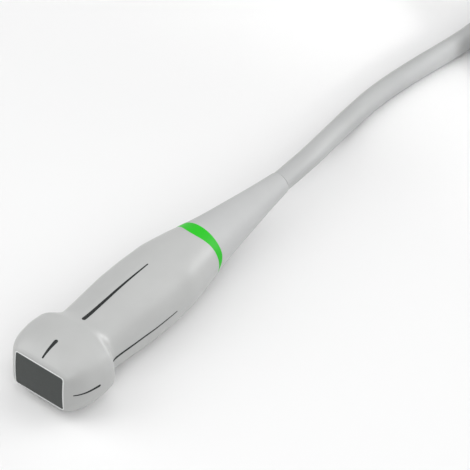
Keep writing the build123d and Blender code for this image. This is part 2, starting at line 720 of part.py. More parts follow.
def cable_tube(name, route):
    """A round tube along straight runs joined by tangent arcs."""
    radii = corner_radii(route)
    path = FilletPolyline(*route, radius=radii)
    face = Plane(origin=path @ 0, z_dir=path % 0) * Circle(CABLE_RADIUS)
    tube = sweep(face, path)
    expected = math.pi * CABLE_RADIUS**2 * path.length
    print(name, "radii", [round(radius, 1) for radius in radii])
    print(name, "length", round(path.length, 1), "volume share", round(tube.volume / expected, 4))
    return tube


def oblong(radius, height, z_start):
    """An upright oblong block round the hank's two end centres."""
    face = Rot(Z=90) * SlotCenterToCenter(HANK_RUN, 2 * radius)
    return Pos(HANK_X, HANK_START + HANK_RUN / 2, z_start) * extrude(face, height)


def cable_hank():
    """The outer shape of the hank's turns, rounded like the cable at its edges."""
    height = HANK_TOP - TIE_THICKNESS
    hank = oblong(HANK_OUTER, height, TIE_THICKNESS)
    hank -= oblong(HANK_INNER, height * 2, 0)
    edges = hank.edges().filter_by(Axis.Z, reverse=True)
    turns = HANK_LAYERS * 2 * (2 * HANK_RUN + 2 * math.pi * HANK_RADIUS)
    print("hank turns length", round(turns, 1))
    return fillet(edges, CABLE_RADIUS * HANK_EDGE_SHARE)


def hank_tie(side, y_start):
    """A flat strap round the turns on one side of the hank, with its end lapped on top."""
    width = HANK_COLUMNS * CABLE_DIAMETER
    height = HANK_TOP - TIE_THICKNESS
    x = HANK_X + side * HANK_RADIUS
    middle_z = TIE_THICKNESS + height / 2
    plane = Plane(origin=(x, y_start, middle_z), x_dir=(-1, 0, 0), z_dir=(0, 1, 0))
    inner = RectangleRounded(width, height, CABLE_RADIUS * HANK_EDGE_SHARE)
    outer = RectangleRounded(width + 2 * TIE_THICKNESS, height + 2 * TIE_THICKNESS, CABLE_RADIUS)
    strap = extrude(plane * (outer - inner), TIE_WIDTH)
    lap_z = HANK_TOP + TIE_THICKNESS
    return strap + block(TIE_TAB_LENGTH, TIE_WIDTH, TIE_THICKNESS, x, y_start, lap_z)


def corner_places():
    """Where the four housing screws stand, as x and y."""
    x = PLUG_WIDTH / 2 - HOUSING_SCREW_INSET
    y = PLUG_LENGTH / 2 - HOUSING_SCREW_INSET
    return [
        (HANK_X + side * x, PLUG_MIDDLE_Y + end * y) for side in (1, -1) for end in (1, -1)
    ]


def plug_screws():
    """Four housing screws, heads down in the shroud."""
    one = Rot(X=180) * screw(
        HOUSING_SCREW_DIAMETER, HOUSING_SCREW_LENGTH, HOUSING_HEAD_DIAMETER, HOUSING_HEAD_HEIGHT
    )
    z = HANK_TOP + 2 * CONTACT_HEIGHT + HOUSING_HEAD_HEIGHT + HOUSING_SCREW_LENGTH
    return [Pos(x, y, z) * one for x, y in corner_places()]


def lock_bore(z_start, height):
    """The bore that the lock shaft turns in."""
    return upright(LOCK_BORE_RADIUS, height, HANK_X, PLUG_MIDDLE_Y, z_start)


def plug_shell(height, z_start):
    """One storey of the connector's outer form."""
    return rounded_block(
        PLUG_WIDTH, PLUG_LENGTH, height, PLUG_CORNER_RADIUS, HANK_X, PLUG_START, z_start
    )


def plug_cavity(height, z_start):
    """The room inside that storey."""
    return rounded_block(
        PLUG_WIDTH - 2 * HOUSING_WALL,
        PLUG_LENGTH - 2 * HOUSING_WALL,
        height,
        PLUG_CORNER_RADIUS - HOUSING_WALL,
        HANK_X,
        PLUG_START + HOUSING_WALL,
        z_start,
    )


def plug_bosses(height, z_start):
    """The four screw bosses of that storey."""
    bosses = [upright(BOSS_DIAMETER / 2, height, x, y, z_start) for x, y in corner_places()]
    return [boss & plug_shell(height, z_start) for boss in bosses]


def plug_relief_body():
    """Tapered moulding at the connector's cable exit, with a flange behind the wall."""
    profile = Polyline(
        (0, PLUG_RELIEF_Y),
        (PLUG_RELIEF_END_DIAMETER / 2, PLUG_RELIEF_Y),
        (PLUG_RELIEF_DIAMETER / 2, PLUG_START),
        (PLUG_RELIEF_DIAMETER / 2, PLUG_START + HOUSING_WALL),
        (PLUG_FLANGE_DIAMETER / 2, PLUG_START + HOUSING_WALL),
        (PLUG_FLANGE_DIAMETER / 2, PLUG_START + HOUSING_WALL + PLUG_FLANGE_THICKNESS),
        (0, PLUG_START + HOUSING_WALL + PLUG_FLANGE_THICKNESS),
        (0, PLUG_RELIEF_Y),
    )
    return Pos(PLUG_EXIT_X, 0, PLUG_SPLIT_Z) * revolve(make_face(profile), Axis.Y)


def plug_housings():
    """Shroud, lower housing and upper housing, which part at the cable's height."""
    shroud = plug_shell(SHROUD_HEIGHT, HANK_TOP)
    block_y = PLUG_MIDDLE_Y - BLOCK_LENGTH / 2
    cut_height = SHROUD_HEIGHT + 2 * OVERRUN
    shroud -= block(BLOCK_WIDTH, BLOCK_LENGTH, cut_height, HANK_X, block_y, HANK_TOP - OVERRUN)
    lower_z = HANK_TOP + SHROUD_HEIGHT
    lower = plug_shell(LOWER_HOUSING_HEIGHT, lower_z) - plug_cavity(LOWER_HOUSING_HEIGHT, lower_z)
    for boss in plug_bosses(LOWER_HOUSING_HEIGHT, lower_z):
        lower += boss
    roof_z = PLUG_TOP_Z - HOUSING_WALL
    upper = plug_shell(UPPER_HOUSING_HEIGHT, PLUG_SPLIT_Z)
    upper = fillet(upper.faces().sort_by(Axis.Z)[-1].edges(), HOUSING_EDGE_RADIUS)
    upper -= plug_cavity(UPPER_HOUSING_HEIGHT - HOUSING_WALL, PLUG_SPLIT_Z)
    for boss in plug_bosses(UPPER_HOUSING_HEIGHT - HOUSING_WALL, PLUG_SPLIT_Z):
        upper += boss
    bush_radius = LOCK_BORE_RADIUS + BUSH_WALL
    upper -= upright(bush_radius, HOUSING_WALL + OVERRUN, HANK_X, PLUG_MIDDLE_Y, roof_z)
    relief = plug_relief_body()
    counterbore_height = 2 * CONTACT_HEIGHT + HOUSING_HEAD_HEIGHT
    for x, y in corner_places():
        shroud -= upright(HOUSING_HEAD_DIAMETER / 2, counterbore_height, x, y, HANK_TOP)
    for one in plug_screws():
        shroud -= one
        lower -= one
        upper -= one
    return {
        "connector_shroud": shroud,
        "connector_lower_housing": lower - relief,
        "connector_upper_housing": upper - relief,
    }


def contact_field():
    """The insulator with its cam pocket, and the grid of contacts on its face."""
    gap = SHELL_FIT
    insulator = block(
        BLOCK_WIDTH - 2 * gap, BLOCK_LENGTH - 2 * gap, BLOCK_HEIGHT,
        HANK_X, PLUG_MIDDLE_Y - BLOCK_LENGTH / 2 + gap, BLOCK_Z,
    )
    pocket_radius = CAM_LENGTH / 2 + CAM_POCKET_GAP
    pocket_depth = CAM_RECESS + CAM_HEIGHT + LEVER_GAP
    insulator -= upright(pocket_radius, pocket_depth, HANK_X, PLUG_MIDDLE_Y, BLOCK_Z)
    insulator -= lock_bore(BLOCK_Z, BLOCK_HEIGHT * 2)
    contact_z = BLOCK_Z - CONTACT_HEIGHT
    contacts = []
    for column in range(CONTACT_COLUMNS):
        x = HANK_X + (column - (CONTACT_COLUMNS - 1) / 2) * CONTACT_PITCH
        for row in range(CONTACT_ROWS):
            away = CONTACT_FIELD_START + row * CONTACT_PITCH
            for end in (1, -1):
                y_start = PLUG_MIDDLE_Y + end * away - CONTACT_SIZE / 2
                contact = block(CONTACT_SIZE, CONTACT_SIZE, CONTACT_HEIGHT, x, y_start, contact_z)
                contacts.append(contact)
    return {"contact_block": insulator, "contacts": group(contacts)}


def plug_inside():
    """Connector board, cable end, its clamp and the fan of wires down to the board."""
    margin = 2 * PLUG_BOARD_MARGIN
    board = block(
        BLOCK_WIDTH - margin, BLOCK_LENGTH - margin, PLUG_BOARD_THICKNESS,
        HANK_X, PLUG_MIDDLE_Y - BLOCK_LENGTH / 2 + PLUG_BOARD_MARGIN, PLUG_BOARD_Z,
    )
    board -= lock_bore(PLUG_BOARD_Z - OVERRUN, PLUG_BOARD_THICKNESS + 2 * OVERRUN)
    board_top = PLUG_BOARD_Z + PLUG_BOARD_THICKNESS
    clamp_y = PLUG_START + PLUG_CLAMP_SETBACK
    end_y = clamp_y + PLUG_CLAMP_LENGTH + JACKET_OVERHANG
    clamp_height = PLUG_SPLIT_Z + CABLE_RADIUS + PLUG_CLAMP_WALL - board_top
    clamp = block(
        PLUG_CLAMP_WIDTH, PLUG_CLAMP_LENGTH, clamp_height, PLUG_EXIT_X, clamp_y, board_top
    )
    cut_length = PLUG_CLAMP_LENGTH + 2 * OVERRUN
    clamp -= rod(CABLE_RADIUS, cut_length, PLUG_EXIT_X, clamp_y - OVERRUN, PLUG_SPLIT_Z)
    fan = flat_fan(
        (PLUG_EXIT_X, end_y, PLUG_SPLIT_Z), (FAN_END_WIDTH, FAN_END_WIDTH),
        (PLUG_EXIT_X + PLUG_FAN_SHIFT, end_y + PLUG_FAN_LENGTH, board_top + FAN_THICKNESS / 2),
        (PLUG_FAN_WIDTH, FAN_THICKNESS),
    )
    end_length = end_y - PLUG_RELIEF_Y
    cable_end = rod(CABLE_RADIUS, end_length, PLUG_EXIT_X, PLUG_RELIEF_Y, PLUG_SPLIT_Z)
    return {
        "connector_board": board,
        "connector_cable_end": cable_end,
        "connector_cable_clamp": clamp,
        "connector_coax_fan": fan,
    }


def lock():
    """Bush in the roof, and the lever, shaft and screw that turn together."""
    bush_radius = LOCK_BORE_RADIUS + BUSH_WALL
    roof_z = PLUG_TOP_Z - HOUSING_WALL
    flange_z = roof_z - BUSH_FLANGE_HEIGHT
    bush = upright(bush_radius, HOUSING_WALL, HANK_X, PLUG_MIDDLE_Y, roof_z)
    bush += upright(bush_radius + BUSH_FLANGE, BUSH_FLANGE_HEIGHT, HANK_X, PLUG_MIDDLE_Y, flange_z)
    bush -= lock_bore(flange_z - OVERRUN, PLUG_TOP_Z - flange_z + 2 * OVERRUN)
    lever_z = PLUG_TOP_Z + LEVER_GAP
    cam_z = BLOCK_Z + CAM_RECESS
    shaft_top = lever_z + SHAFT_SEAT_DEPTH
    radius = LOCK_SHAFT_DIAMETER / 2
    shaft = upright(radius, shaft_top - cam_z, HANK_X, PLUG_MIDDLE_Y, cam_z)
    cam_y = PLUG_MIDDLE_Y - CAM_LENGTH / 2
    shaft += rounded_block(
        CAM_WIDTH, CAM_LENGTH, CAM_HEIGHT, CAM_CORNER_RADIUS, HANK_X, cam_y, cam_z
    )
    lever = upright(HUB_DIAMETER / 2, HUB_HEIGHT, HANK_X, PLUG_MIDDLE_Y, lever_z)
    bar = Rot(Z=90) * SlotOverall(LEVER_LENGTH, LEVER_WIDTH)
    handle = Pos(HANK_X, PLUG_MIDDLE_Y, lever_z) * extrude(bar, LEVER_HEIGHT)
    lever += fillet(handle.faces().sort_by(Axis.Z)[-1].edges(), LEVER_EDGE_RADIUS)
    lever -= upright(radius, SHAFT_SEAT_DEPTH, HANK_X, PLUG_MIDDLE_Y, lever_z)
    head_z = lever_z + LEVER_HEIGHT - LEVER_HEAD_HEIGHT
    fixing = Pos(HANK_X, PLUG_MIDDLE_Y, head_z - LEVER_SCREW_LENGTH) * screw(
        LEVER_SCREW_DIAMETER, LEVER_SCREW_LENGTH, LEVER_HEAD_DIAMETER, LEVER_HEAD_HEIGHT
    )
    lever -= upright(LEVER_HEAD_DIAMETER / 2, LEVER_HEAD_HEIGHT * 2, HANK_X, PLUG_MIDDLE_Y, head_z)
    return {
        "lock_bush": bush,
        "lock_shaft": shaft - fixing,
        "lock_lever": lever - fixing,
        "lever_screw": fixing,
    }


def probe():
    """The probe's nodes, from the nose shell to the cable's end inside it."""
    nose_top = top_stroke_tool(NOSE_TOP_STROKE)
    nose_right = side_stroke_tool(NOSE_SIDE_STROKE)
    nose_left = mirrored(nose_right)
    grip_top = top_stroke_tool(GRIP_TOP_STROKE)
    grip_right = side_stroke_tool(GRIP_SIDE_STROKE)
    grip_left = mirrored(grip_right)
    tools = {
        "nose_top_inlay": nose_top,
        "nose_right_inlay": nose_right,
        "nose_left_inlay": nose_left,
        "grip_top_inlay": grip_top,
        "grip_right_inlay": grip_right,
        "grip_left_inlay": grip_left,
    }
    nodes = {name: inlay(tool, INLAY_DEPTH) for name, tool in tools.items()}
    band = inlay(band_tool(), BAND_DEPTH)
    strokes = list(tools.values())
    nodes["nose_shell"] = nose_shell(strokes)
    upper, lower = handle_shells(strokes, band)
    nodes["upper_handle_shell"] = upper
    nodes["lower_handle_shell"] = lower
    nodes["green_band"] = band
    nodes["strain_relief"] = strain_relief()
    nodes["acoustic_lens"] = lens()
    nodes["chassis"] = chassis()
    nodes.update(acoustic_stack())
    nodes.update(board_set())
    nodes.update(cable_anchor())
    return nodes


def cable():
    """The free cable, its hank and the hank's two ties."""
    return {
        "cable_run": cable_tube("cable_run", cable_route),
        "cable_hank": cable_hank(),
        "cable_tail": cable_tube("cable_tail", tail_route),
        "left_tie": hank_tie(-1, LEFT_TIE_Y),
        "right_tie": hank_tie(1, RIGHT_TIE_Y),
    }


def connector():
    """The system connector's nodes."""
    bore = rod(CABLE_RADIUS, PLUG_LENGTH, PLUG_EXIT_X, PLUG_RELIEF_Y - OVERRUN, PLUG_SPLIT_Z)
    nodes = plug_housings()
    nodes["housing_screws"] = group(plug_screws())
    nodes["connector_strain_relief"] = plug_relief_body() - bore
    nodes.update(contact_field())
    nodes.update(plug_inside())
    nodes.update(lock())
    return nodes


def main():
    """Write one file per node."""
    os.makedirs("parts", exist_ok=True)
    for nodes in (probe(), cable(), connector()):
        for name, shape in nodes.items():
            export_step(shape, f"parts/{name}.step")


main()
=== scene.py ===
import json
import math

import bpy
import numpy as np
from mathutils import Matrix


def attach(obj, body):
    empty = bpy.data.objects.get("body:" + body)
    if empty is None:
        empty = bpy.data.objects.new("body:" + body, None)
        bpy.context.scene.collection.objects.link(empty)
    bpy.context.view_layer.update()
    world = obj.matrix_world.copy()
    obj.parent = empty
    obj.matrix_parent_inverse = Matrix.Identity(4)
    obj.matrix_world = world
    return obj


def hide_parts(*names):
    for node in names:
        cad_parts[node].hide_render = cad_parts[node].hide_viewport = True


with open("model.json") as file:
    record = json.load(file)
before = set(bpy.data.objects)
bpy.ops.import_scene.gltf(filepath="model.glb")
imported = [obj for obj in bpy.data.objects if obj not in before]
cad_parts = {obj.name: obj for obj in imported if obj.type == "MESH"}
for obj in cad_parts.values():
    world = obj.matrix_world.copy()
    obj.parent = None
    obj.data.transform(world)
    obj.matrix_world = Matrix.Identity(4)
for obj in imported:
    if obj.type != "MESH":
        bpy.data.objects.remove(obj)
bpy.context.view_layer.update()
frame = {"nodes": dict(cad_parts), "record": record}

MM_PER_M = 1000

# Places along the probe, in millimetres as all sizes here: its axis lies along Y, lens first
AXIS_Z = 13.4
FACE_Y = -64.85
JOINT_Y = -40.25
TAIL_Y = 22.15
EXIT_Y = 64.85

# Window and lens
LENS_HALF_WIDTH = 10.7
LENS_HALF_HEIGHT = 7.35
LENS_CORNER = 0.8
LENS_THICKNESS = 1.4
FRONT_BOW = 0.5
BOW_DEPTH = 1.5
FRONT_WALL = 5.0

# Half width and half height of the skin where its four stretches meet, and their lengths
FACE_HALVES = (11.25, 7.9)
NOSE_HALVES = (18.0, 13.4)
NECK_HALVES = (12.95, 12.25)
GRIP_HALVES = (14.25, 13.4)
TAIL_RADIUS = 10.4
NOSE_LENGTH = 17.2
SHOULDER_LENGTH = 9.3
GRIP_FRONT_LENGTH = 25.5
GRIP_REAR_LENGTH = 35.0
SHELL_WALL = 1.6
MUZZLE_DEPTH = 8.0

# Cable, and the hank of its spare length
CABLE_RADIUS = 3.9
HANK_X = 32.0
HANK_START = 192.0
HANK_END = 332.0
HANK_RADIUS = 25.0
HANK_LEVEL = 8.6
HANK_TURNS = 4

# How finely surfaces are divided: points round a ring and round a tube, rows along the skin, and
# every how many of these rows the nose and the handle have a ring
RING_POINTS = 384
TUBE_POINTS = 192
SKIN_POINTS = 3000
NOSE_ROW_STEP = 12
HANDLE_ROW_STEP = 16
# Height over width of the ellipse that spaces the points of a ring
RING_FLATNESS = 0.7


def add_object(name, data):
    """A new object in the scene, at the origin."""
    made = bpy.data.objects.new(name, data)
    bpy.context.scene.collection.objects.link(made)
    return made


# Camera and cable come first: they settle where everything else may lie

CAMERA_LENS = 1500
SENSOR_WIDTH = 36
CAMERA_REACH = 60
PICTURE_WIDTH = 164.5
PICTURE_MIDDLE = (5.13, 34.71, 13.4)
PICTURE_RIGHT = (0.7627, 0.6468, 0.0)
PICTURE_UP = (-0.4526, 0.5336, 0.7145)


def make_camera():
    """A long lens at the photograph's angle, aimed so that the lens face falls where it does there.

    It stands back by its focal length times the picture's width over the sensor's width.
    """
    data = bpy.data.cameras.new("camera")
    data.lens = CAMERA_LENS
    data.sensor_width = SENSOR_WIDTH
    data.clip_end = CAMERA_REACH
    camera = add_object("camera", data)
    right = np.array(PICTURE_RIGHT)
    up = np.array(PICTURE_UP)
    back = np.cross(right, up)
    distance = CAMERA_LENS * PICTURE_WIDTH / SENSOR_WIDTH
    matrix = np.eye(4)
    for column, direction in enumerate((right, up, back)):
        matrix[:3, column] = direction / np.linalg.norm(direction)
    matrix[:3, 3] = (np.array(PICTURE_MIDDLE) + back * distance) / MM_PER_M
    camera.matrix_world = matrix.T.tolist()
    bpy.context.scene.camera = camera


# The cable from the strain relief to the hank, and from the hank to the connector
ROUTE_LEAVING = [
    (0.0, 64.85, 13.4), (-0.5, 80.0, 12.8), (-4.5, 95.5, 8.1), (-8.0, 111.5, 4.2),
    (-8.9, 128.0, 3.9), (-6.9, 146.0, 3.9), (-3.6, 165.0, 3.9), (-2.4, 177.5, 3.9),
    (-4.3, 191.0, 3.9), (-5.9, 204.0, 4.0), (-5.3, 219.0, 4.3), (-1.6, 234.0, 4.6),
    (3.1, 249.0, 4.7),
]
ROUTE_ARRIVING = [
    (46.5, 166.9, 12.5), (32.0, 163.0, 12.9), (17.5, 166.7, 15.4), (7.2, 176.5, 18.6),
    (3.4, 190.0, 20.7), (5.3, 203.5, 22.4), (9.4, 216.5, 25.9), (13.0, 229.0, 29.1),
    (14.5, 240.5, 30.4), (14.5, 252.0, 30.4),
]
# Control points of the hank: along its left and right runs, and where a strand changes place
LEFT_RUN = (266.0, 288.0, 311.0)
RIGHT_RUN = (311.0, 286.0, 262.0, 238.0, 213.0)
CHANGE_OF_PLACE = ((200.0, 0.04), (212.0, 0.3), (225.0, 0.6), (238.0, 0.88), (250.0, 1.0))
CHANGE_LIFT = 1.2
BEND_CORNERS = 8
LAST_BEND_CORNERS = 2


def hank_points():
    """Control points of the tied turns.

    Four strands lie two wide and two high. Strand k sits at angle -45 - 90 k degrees round the
    bundle's middle, in a plane across it, and moves on to the next place along the left run.
    Round each end the control points are the corners of a polygon whose sides touch the circle.
    The last turn ends where the cable leaves for the connector.
    """
    spread = CABLE_RADIUS * math.sqrt(2)
    corner = 1 / math.cos(math.pi / 2 / BEND_CORNERS)

    def place(turn, share=0.0):
        """Way outward and height of a strand, a share of the way to its next place."""
        angle = math.radians(-45 - 90 * (turn + share))
        lift = CHANGE_LIFT * math.sin(math.pi * share)
        return spread * math.cos(angle), HANK_LEVEL + spread * math.sin(angle) + lift

    def bend(radius, z, middle_y, first_angle, corners=BEND_CORNERS):
        """Corners round an end of the hank, clockwise as seen from above."""
        angles = [first_angle - math.pi * (step + 0.5) / BEND_CORNERS for step in range(corners)]
        reach = radius * corner
        return [(HANK_X + reach * math.cos(a), middle_y + reach * math.sin(a), z) for a in angles]

    points = []
    for turn in range(HANK_TURNS):
        outward, z = place(turn)
        radius = HANK_RADIUS + outward
        points += [(HANK_X - radius, y, z) for y in LEFT_RUN]
        points += bend(radius, z, HANK_END, math.pi)
        points += [(HANK_X + radius, y, z) for y in RIGHT_RUN]
        if turn == HANK_TURNS - 1:
            points += bend(radius, z, HANK_START, 0.0, LAST_BEND_CORNERS)
        else:
            points += bend(radius, z, HANK_START, 0.0)
            for y, share in CHANGE_OF_PLACE:
                outward, z = place(turn, share)
                points.append((HANK_X - HANK_RADIUS - outward, y, z))
    return points


def make_cable():
    """The whole cable as one smooth curve: from the strain relief, round the hank, to the connector."""
    points = np.array(ROUTE_LEAVING + hank_points() + ROUTE_ARRIVING) / MM_PER_M
    curve = bpy.data.curves.new("cable", "CURVE")
    curve.dimensions = "3D"
    curve.bevel_depth = CABLE_RADIUS / MM_PER_M
    curve.bevel_resolution = 7
    curve.resolution_u = 8
    curve.use_fill_caps = True
    spline = curve.splines.new("NURBS")
    spline.points.add(len(points) - 1)
    spline.points.foreach_set("co", np.column_stack([points, np.ones(len(points))]).ravel())
    spline.order_u = 3
    spline.use_endpoint_u = True
    return add_object("cable", curve)


make_camera()
cable = make_cable()


# Shape of the skin

# Share of a stretch's length, of its change in half width and in half height, and squareness
NOSE_SHARES = [
    (0.0, 0.0, 0.0, 10.0), (0.026, 0.12, 0.126, 7.5), (0.081, 0.26, 0.26, 5.6),
    (0.174, 0.46, 0.45, 4.4), (0.372, 0.74, 0.712, 3.5), (0.61, 0.89, 0.874, 3.0),
    (0.826, 0.975, 0.973, 2.7), (1.0, 1.0, 1.0, 2.5),
]
SHOULDER_SHARES = [
    (0.151, 0.012, 0.012, 2.45), (0.247, 0.039, 0.039, 2.45), (0.301, 0.075, 0.075, 2.44),
    (0.349, 0.147, 0.147, 2.43), (0.409, 0.273, 0.273, 2.42), (0.495, 0.475, 0.475, 2.4),
    (0.602, 0.702, 0.702, 2.4), (0.753, 0.91, 0.91, 2.37), (0.882, 0.985, 0.985, 2.35),
    (1.0, 1.0, 1.0, 2.35),
]
GRIP_FRONT_SHARES = [
    (0.176, 0.15, 0.17, 2.3), (0.373, 0.42, 0.43, 2.3), (0.569, 0.65, 0.74, 2.3),
    (0.765, 0.90, 0.93, 2.3), (1.0, 1.0, 1.0, 2.25),
]
GRIP_REAR_SHARES = [
    (0.171, 0.013, 0.01, 2.25), (0.314, 0.065, 0.017, 2.2), (0.443, 0.13, 0.067, 2.2),
    (0.557, 0.273, 0.183, 2.15), (0.686, 0.468, 0.367, 2.1), (0.814, 0.675, 0.60, 2.05),
    (0.914, 0.849, 0.817, 2.0), (1.0, 1.0, 1.0, 2.0),
]
STRETCHES = (
    (NOSE_LENGTH, FACE_HALVES, NOSE_HALVES, NOSE_SHARES),
    (SHOULDER_LENGTH, NOSE_HALVES, NECK_HALVES, SHOULDER_SHARES),
    (GRIP_FRONT_LENGTH, NECK_HALVES, GRIP_HALVES, GRIP_FRONT_SHARES),
    (GRIP_REAR_LENGTH, GRIP_HALVES, (TAIL_RADIUS, TAIL_RADIUS), GRIP_REAR_SHARES),
)


def natural_spline(knots, values, at):
    """Rows of a natural cubic spline that passes through values at knots."""
    steps = np.diff(knots)
    count = len(knots)
    inner = np.arange(1, count - 1)
    system = np.eye(count)
    system[inner, inner - 1] = steps[:-1]
    system[inner, inner] = 2 * (steps[:-1] + steps[1:])
    system[inner, inner + 1] = steps[1:]
    slopes = np.diff(values, axis=0) / steps[:, None]
    right = np.zeros_like(values)
    right[inner] = 6 * np.diff(slopes, axis=0)
    bends = np.linalg.solve(system, right)
    k = np.clip(np.searchsorted(knots, at, side="right") - 1, 0, count - 2)
    h = steps[k][:, None]
    a = (knots[k + 1] - at)[:, None] / h
    b = 1 - a
    curved = ((a**3 - a) * bends[k] + (b**3 - b) * bends[k + 1]) * h**2 / 6
    return a * values[k] + b * values[k + 1] + curved


def stations():
    """Cross-sections from lens to tail: y, half width, half height, squareness."""
    rows = []
    start = FACE_Y
    for length, first, second, shares in STRETCHES:
        for along, across, up, squareness in shares:
            rows.append((
                start + length * along,
                first[0] + (second[0] - first[0]) * across,
                first[1] + (second[1] - first[1]) * up,
                squareness,
            ))
        start += length
    return np.array(rows)


def dense_stations():
    """The stations joined by a smooth curve, close together."""
    rows = stations()
    steps = np.linalg.norm(np.diff(rows[:, :3], axis=0), axis=1)
    knots = np.concatenate([[0], np.cumsum(steps)])
    return natural_spline(knots, rows, np.linspace(0, knots[-1], SKIN_POINTS))


SKIN = dense_stations()
SKIN_MARGIN = 0.05


def skin_sizes(y):
    """Half width, half height and squareness of the probe at y."""
    return [np.interp(y, SKIN[:, 0], SKIN[:, column]) for column in (1, 2, 3)]


def skin_rows(start, end, step):
    """Every so many rows of the skin between two places, none within the margin of either."""
    between = (SKIN[:, 0] > start + SKIN_MARGIN) & (SKIN[:, 0] < end - SKIN_MARGIN)
    return SKIN[between][::step]


def ring(half_width, half_height, squareness, angles):
    """x and height of a superellipse: |x/a|^n + |z/b|^n = 1."""
    across = np.abs(np.cos(angles) / half_width) ** squareness
    up = np.abs(np.sin(angles) / half_height) ** squareness
    reach = (across + up) ** (-1 / squareness)
    return reach * np.cos(angles), reach * np.sin(angles)


def skin_ring(y, angles, inset=0.0):
    """Ring of the skin at y, or of a wall so far inside it."""
    half_width, half_height, squareness = skin_sizes(y)
    return (y, *ring(half_width - inset, half_height - inset, squareness, angles))


def rounded_ring(half_width, half_height, radius, angles):
    """x and height of a rounded rectangle, where a ray at each angle meets it.

    The ray meets a side at half width / |cos| or half height / |sin|, whichever is nearer, and in
    a corner it meets the circle of the radius round the corner's middle.
    """
    nearly_zero = 1e-9
    c, s = np.abs(np.cos(angles)), np.abs(np.sin(angles))
    reach = np.minimum(half_width / np.maximum(c, nearly_zero), half_height / np.maximum(s, nearly_zero))
    cx, cz = half_width - radius, half_height - radius
    dot = c * cx + s * cz
    inside = np.maximum(dot**2 - (cx**2 + cz**2 - radius**2), 0)
    bend = dot + np.sqrt(inside)
    in_corner = (reach * c > cx) & (reach * s > cz)
    reach = np.where(in_corner, bend, reach)
    return reach * np.cos(angles), reach * np.sin(angles)


def angles_round(count=RING_POINTS):
    """Angles of a ring, closer together at the face's corners: those of a flat ellipse's points."""
    turns = np.linspace(0, 2 * np.pi, count, endpoint=False)
    return np.arctan2(RING_FLATNESS * np.sin(turns), np.cos(turns))


# Meshes

def stack_rings(rings):
    """Rings given as (y, x, height above the axis) to one array, ring by ring."""
    return np.concatenate([
        np.column_stack([x, np.broadcast_to(y, x.shape), z + AXIS_Z]) for y, x, z in rings
    ])


def grid_faces(rows, columns, wrap_rows=False, wrap_columns=True):
    """Quads between neighbouring rows and columns of a grid of points."""
    r = np.arange(rows if wrap_rows else rows - 1)
    c = np.arange(columns if wrap_columns else columns - 1)
    r, c = [grid.ravel() for grid in np.meshgrid(r, c, indexing="ij")]
    next_r, next_c = (r + 1) % rows, (c + 1) % columns
    return np.column_stack([
        r * columns + c, r * columns + next_c, next_r * columns + next_c, next_r * columns + c
    ])


def facing_out(points, faces):
    """The faces, turned if they enclose a negative volume."""
    a, b, c, d = [points[faces[:, k]] for k in range(4)]
    volume = np.einsum("ij,ij->i", a, np.cross(b, c)).sum()
    volume += np.einsum("ij,ij->i", a, np.cross(c, d)).sum()
    return faces if volume > 0 else faces[:, ::-1]


def add_piece(name, points, faces, material, sharp=38, caps=()):
    """A mesh piece of the probe from points and quads, smooth except at edges above an angle."""
    mesh = bpy.data.meshes.new(name)
    polygons = facing_out(points, faces).tolist() + [list(cap) for cap in caps]
    mesh.from_pydata((points / MM_PER_M).tolist(), [], polygons)
    mesh.validate()
    mesh.shade_smooth()
    mesh.set_sharp_from_angle(angle=math.radians(sharp))
    mesh.materials.append(material)
    piece = add_object(name, mesh)
    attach(piece, "probe")
    return piece


def loop_piece(name, rings, material, sharp=38):
    """A closed piece through rings in turn, the last of which is joined to the first."""
    points = stack_rings(rings)
    faces = grid_faces(len(rings), len(points) // len(rings), wrap_rows=True)
    return add_piece(name, points, faces, material, sharp)


def patch(name, top, bottom, material):
    """A closed piece between two grids of points of one shape, top one outside."""
    rows, columns = top.shape[:2]
    points = np.concatenate([top.reshape(-1, 3), bottom.reshape(-1, 3)])
    upper = grid_faces(rows, columns, wrap_columns=False)
    lower = upper[:, ::-1] + rows * columns
    index = np.arange(rows * columns).reshape(rows, columns)
    edge = np.concatenate([index[0, :-1], index[:-1, -1], index[-1, :0:-1], index[:0:-1, 0]])
    after = np.roll(edge, -1)
    wall = np.column_stack([after, edge, edge + rows * columns, after + rows * columns])
    return add_piece(name, points, np.concatenate([upper, lower, wall]), material, sharp=50)


# Materials

def linear(code):
    """Linear colour of an sRGB hex code."""
    shares = [int(code[start:start + 2], 16) / 255 for start in (0, 2, 4)]
    bright = [s / 12.92 if s <= 0.04045 else ((s + 0.055) / 1.055) ** 2.4 for s in shares]
    return bright + [1.0]


def node(tree, kind, inputs, **settings):
    """Add a node; an input given as a socket is linked, and any other value is set."""
    made = tree.nodes.new(kind)
    for key, value in settings.items():
        setattr(made, key, value)
    for key, value in inputs.items():
        if isinstance(value, bpy.types.NodeSocket):
            tree.links.new(value, made.inputs[key])
        else:
            made.inputs[key].default_value = value
    return made


def start_material(name):
    """A material with a Principled shader, and its tree, shader and object coordinates."""
    material = bpy.data.materials.new(name)
    material.use_nodes = True
    tree = material.node_tree
    shader = tree.nodes["Principled BSDF"]
    place = tree.nodes.new("ShaderNodeTexCoord").outputs["Object"]
    return material, tree, shader, place


